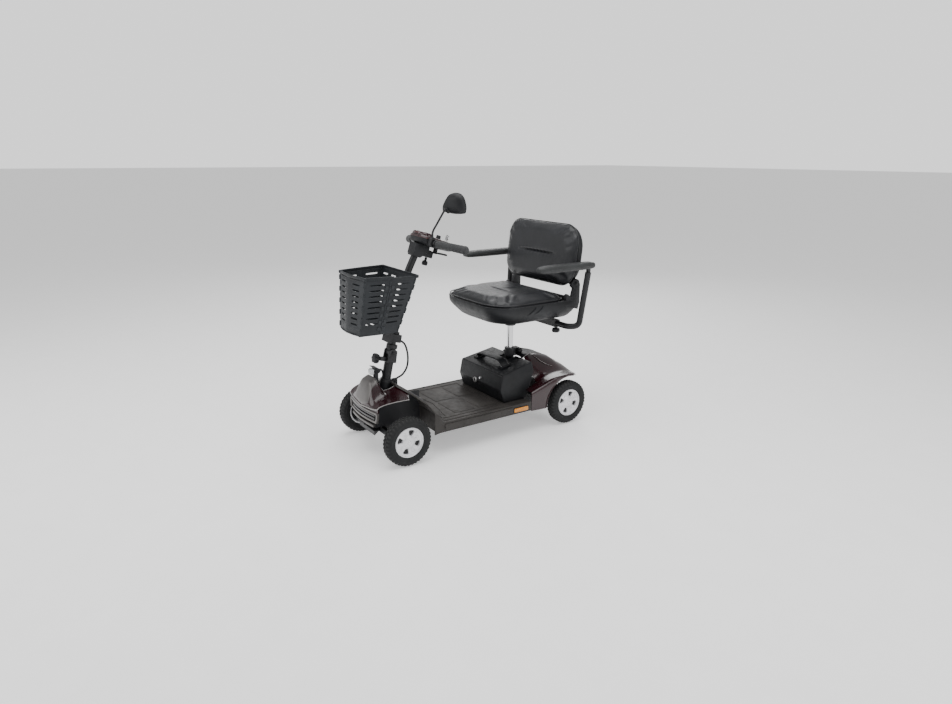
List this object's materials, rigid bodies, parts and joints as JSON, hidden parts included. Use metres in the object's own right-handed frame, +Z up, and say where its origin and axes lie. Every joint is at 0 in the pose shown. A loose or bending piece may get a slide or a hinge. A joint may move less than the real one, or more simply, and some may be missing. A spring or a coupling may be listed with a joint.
{
  "type": "mobility scooter",
  "caption": "Travel mobility scooter with a flat deck, folding tiller and front basket, lift-out battery box, and a padded swivel seat with fold-down back and armrests.",
  "frame": {"origin": "on the ground, at the centre of the bounding box", "axes": "+Z up, -Y the front of the scooter, +X the rider's left; all wheels point along Y at rest"},
  "size_m": [0.602, 1.0655, 1.0429],
  "materials": {
    "frame": "black powder coat, satin",
    "deck_rubber": "warm charcoal moulded rubber mat over the deck pan",
    "maroon_gloss": "very dark red gloss plastic",
    "silver_trim": "silver painted plastic with dark vents",
    "black_plastic": "black moulded plastic, fine texture",
    "clear_lens": "clear moulded lens",
    "amber": "amber reflector plastic",
    "tyre": "dark grey solid rubber tyre, knobbly shoulders",
    "rim": "silver-white painted moulded rim",
    "basket_plastic": "charcoal moulded plastic",
    "grip_foam": "mid-grey soft grip rubber",
    "vinyl": "dark charcoal padded vinyl",
    "chrome": "polished chrome",
    "mirror_glass": "mirror glass",
    "cable_rubber": "black rubber cable sheath"
  },
  "bodies": {
    "chassis": {"front_frame": "frame", "floor_pan": "deck_rubber", "front_shroud": "maroon_gloss", "column_cover": "black_plastic", "front_fascia": "silver_trim", "headlight_housing": "black_plastic", "headlight_lens": "clear_lens", "rear_frame": "frame", "rear_shroud": "maroon_gloss", "transaxle": "frame", "reflector_left": "amber", "reflector_right": "amber"},
    "steering": {"steering_column": "frame", "tiller_cable": "cable_rubber"},
    "tie_rod": {"tie_rod": "frame"},
    "knuckle_left": {"knuckle_left": "frame"},
    "knuckle_right": {"knuckle_right": "frame"},
    "front_left_wheel": {"front_left_tyre": "tyre", "front_left_rim": "rim"},
    "front_right_wheel": {"front_right_tyre": "tyre", "front_right_rim": "rim"},
    "rear_left_wheel": {"rear_left_tyre": "tyre", "rear_left_rim": "rim"},
    "rear_right_wheel": {"rear_right_tyre": "tyre", "rear_right_rim": "rim"},
    "freewheel_lever": {"freewheel_lever": "black_plastic"},
    "post_clamp_knob": {"post_clamp_knob": "black_plastic"},
    "tiller_lock_knob": {"tiller_lock_knob": "black_plastic"},
    "tiller": {"tiller_tube": "frame", "basket_bracket": "black_plastic", "tiller_head": "black_plastic", "console_housing": "black_plastic", "console_cover": "maroon_gloss", "handlebar": "frame", "grip_left": "grip_foam", "grip_right": "grip_foam", "mirror_stem": "frame"},
    "basket": {"basket": "basket_plastic"},
    "console_knob": {"console_knob": "black_plastic"},
    "throttle_lever": {"throttle_lever": "black_plastic"},
    "ignition_key": {"ignition_key": "chrome"},
    "speed_dial": {"speed_dial": "black_plastic"},
    "horn_button": {"horn_button": "amber"},
    "mirror": {"mirror_housing": "black_plastic", "mirror_glass": "mirror_glass"},
    "battery": {"battery_box": "black_plastic", "battery_handle": "black_plastic"},
    "seat_post": {"seat_post": "chrome"},
    "seat": {"seat_base": "frame", "seat_shell": "black_plastic", "seat_cushion": "vinyl"},
    "swivel_lever": {"swivel_lever": "black_plastic"},
    "backrest": {"backrest_shell": "black_plastic", "backrest_cushion": "vinyl"},
    "armrest_tube_left": {"armrest_tube_left": "frame"},
    "armrest_pad_left": {"armrest_pad_left": "grip_foam"},
    "armrest_knob_left": {"armrest_knob_left": "black_plastic"},
    "armrest_tube_right": {"armrest_tube_right": "frame"},
    "armrest_pad_right": {"armrest_pad_right": "grip_foam"},
    "armrest_knob_right": {"armrest_knob_right": "black_plastic"}
  },
  "joints": [
    {"name": "steer", "type": "hinge", "parent": "chassis", "child": "steering", "pos_m": [0, -0.415, 0.1], "axis": [0, 0.2198, 0.9755], "range_deg": [-35, 35]},
    {"name": "kingpin_left", "type": "hinge", "parent": "chassis", "child": "knuckle_left", "pos_m": [0.165, -0.415, 0.1], "axis": [0, 0.2198, 0.9755], "range_deg": [-35, 35]},
    {"name": "kingpin_right", "type": "hinge", "parent": "chassis", "child": "knuckle_right", "pos_m": [-0.165, -0.415, 0.1], "axis": [0, 0.2198, 0.9755], "range_deg": [-35, 35]},
    {"name": "tie_rod_swing", "type": "hinge", "parent": "steering", "child": "tie_rod", "pos_m": [0, -0.3711, 0.09011], "axis": [0, 0.2198, 0.9755], "range_deg": [-35, 35]},
    {"name": "front_left_wheel_spin", "type": "hinge", "parent": "knuckle_left", "child": "front_left_wheel", "pos_m": [0.212, -0.391, 0.1], "axis": [1, 0, 0], "continuous": true},
    {"name": "rear_left_wheel_spin", "type": "hinge", "parent": "chassis", "child": "rear_left_wheel", "pos_m": [0.212, 0.433, 0.1], "axis": [1, 0, 0], "continuous": true},
    {"name": "front_right_wheel_spin", "type": "hinge", "parent": "knuckle_right", "child": "front_right_wheel", "pos_m": [-0.212, -0.391, 0.1], "axis": [1, 0, 0], "continuous": true},
    {"name": "rear_right_wheel_spin", "type": "hinge", "parent": "chassis", "child": "rear_right_wheel", "pos_m": [-0.212, 0.433, 0.1], "axis": [1, 0, 0], "continuous": true},
    {"name": "freewheel_turn", "type": "hinge", "parent": "chassis", "child": "freewheel_lever", "pos_m": [0.052, 0.451, 0.126], "axis": [1, 0, 0], "range_deg": [-30, 0]},
    {"name": "post_clamp_turn", "type": "hinge", "parent": "chassis", "child": "post_clamp_knob", "pos_m": [0.03, 0.299, 0.32], "axis": [1, 0, 0], "range_deg": [0, 180]},
    {"name": "tiller_lock_turn", "type": "hinge", "parent": "steering", "child": "tiller_lock_knob", "pos_m": [0, -0.4111, 0.39024], "axis": [0, -0.9755, 0.2198], "range_deg": [0, 180]},
    {"name": "tiller_fold", "type": "hinge", "parent": "steering", "child": "tiller", "pos_m": [0, -0.34597, 0.40632], "axis": [1, 0, 0], "range_deg": [-25, 0], "deforming": ["tiller_cable"]},
    {"name": "basket_lift", "type": "slide", "parent": "tiller", "child": "basket", "axis": [0, 0.2588, 0.9659], "range_m": [0, 0.05]},
    {"name": "console_knob_turn", "type": "hinge", "parent": "tiller", "child": "console_knob", "pos_m": [0, -0.17879, 0.75872], "axis": [0, 0.309, 0.9511], "range_deg": [0, 180]},
    {"name": "throttle", "type": "hinge", "parent": "tiller", "child": "throttle_lever", "pos_m": [0, -0.12792, 0.80528], "axis": [0, 0.309, 0.9511], "range_deg": [-12, 12], "stiffness_Nm_per_rad": 0.6},
    {"name": "key_turn", "type": "hinge", "parent": "tiller", "child": "ignition_key", "pos_m": [0.022, -0.08928, 0.84004], "axis": [0, 0.309, 0.9511], "range_deg": [0, 60]},
    {"name": "dial_turn", "type": "hinge", "parent": "tiller", "child": "speed_dial", "pos_m": [0.02, -0.12732, 0.8524], "axis": [0, 0.309, 0.9511], "range_deg": [0, 270]},
    {"name": "horn_press", "type": "slide", "parent": "tiller", "child": "horn_button", "axis": [0, -0.309, -0.9511], "range_m": [0, 0.002], "stiffness_N_per_m": 200},
    {"name": "mirror_tilt", "type": "hinge", "parent": "tiller", "child": "mirror", "pos_m": [0.115, -0.1523, 0.97618], "axis": [0, 0, 1], "range_deg": [-25, 25]},
    {"name": "battery_lift", "type": "slide", "parent": "chassis", "child": "battery", "axis": [0, 0, 1], "range_m": [0, 0.1]},
    {"name": "seat_height", "type": "slide", "parent": "chassis", "child": "seat_post", "axis": [0, 0, 1], "range_m": [0, 0.04]},
    {"name": "seat_swivel", "type": "hinge", "parent": "seat_post", "child": "seat", "pos_m": [0, 0.264, 0.45], "axis": [0, 0, 1], "range_deg": [0, 360]},
    {"name": "swivel_release", "type": "hinge", "parent": "seat", "child": "swivel_lever", "pos_m": [-0.127, 0.233, 0.48], "axis": [0, 0, -1], "range_deg": [0, 8], "stiffness_Nm_per_rad": 0.5},
    {"name": "backrest_fold", "type": "hinge", "parent": "seat", "child": "backrest", "pos_m": [0, 0.451, 0.645], "axis": [1, 0, 0], "range_deg": [0, 75]},
    {"name": "armrest_left_width", "type": "slide", "parent": "seat", "child": "armrest_tube_left", "axis": [1, 0, 0], "range_m": [0, 0.04]},
    {"name": "armrest_left_flip", "type": "hinge", "parent": "armrest_tube_left", "child": "armrest_pad_left", "pos_m": [0.275, 0.47, 0.733], "axis": [-1, 0, 0], "range_deg": [0, 90]},
    {"name": "armrest_left_knob_turn", "type": "hinge", "parent": "seat", "child": "armrest_knob_left", "pos_m": [0.152, 0.406, 0.43], "axis": [0, 0, 1], "range_deg": [0, 180]},
    {"name": "armrest_right_width", "type": "slide", "parent": "seat", "child": "armrest_tube_right", "axis": [-1, 0, 0], "range_m": [0, 0.04]},
    {"name": "armrest_right_flip", "type": "hinge", "parent": "armrest_tube_right", "child": "armrest_pad_right", "pos_m": [-0.275, 0.47, 0.733], "axis": [-1, 0, 0], "range_deg": [0, 90]},
    {"name": "armrest_right_knob_turn", "type": "hinge", "parent": "seat", "child": "armrest_knob_right", "pos_m": [-0.152, 0.406, 0.43], "axis": [0, 0, 1], "range_deg": [0, 180]}
  ],
  "couplings": [
    {"joint": "kingpin_left", "follows": "steer", "ratio": 1},
    {"joint": "kingpin_right", "follows": "steer", "ratio": 1},
    {"joint": "tie_rod_swing", "follows": "steer", "ratio": -1}
  ]
}
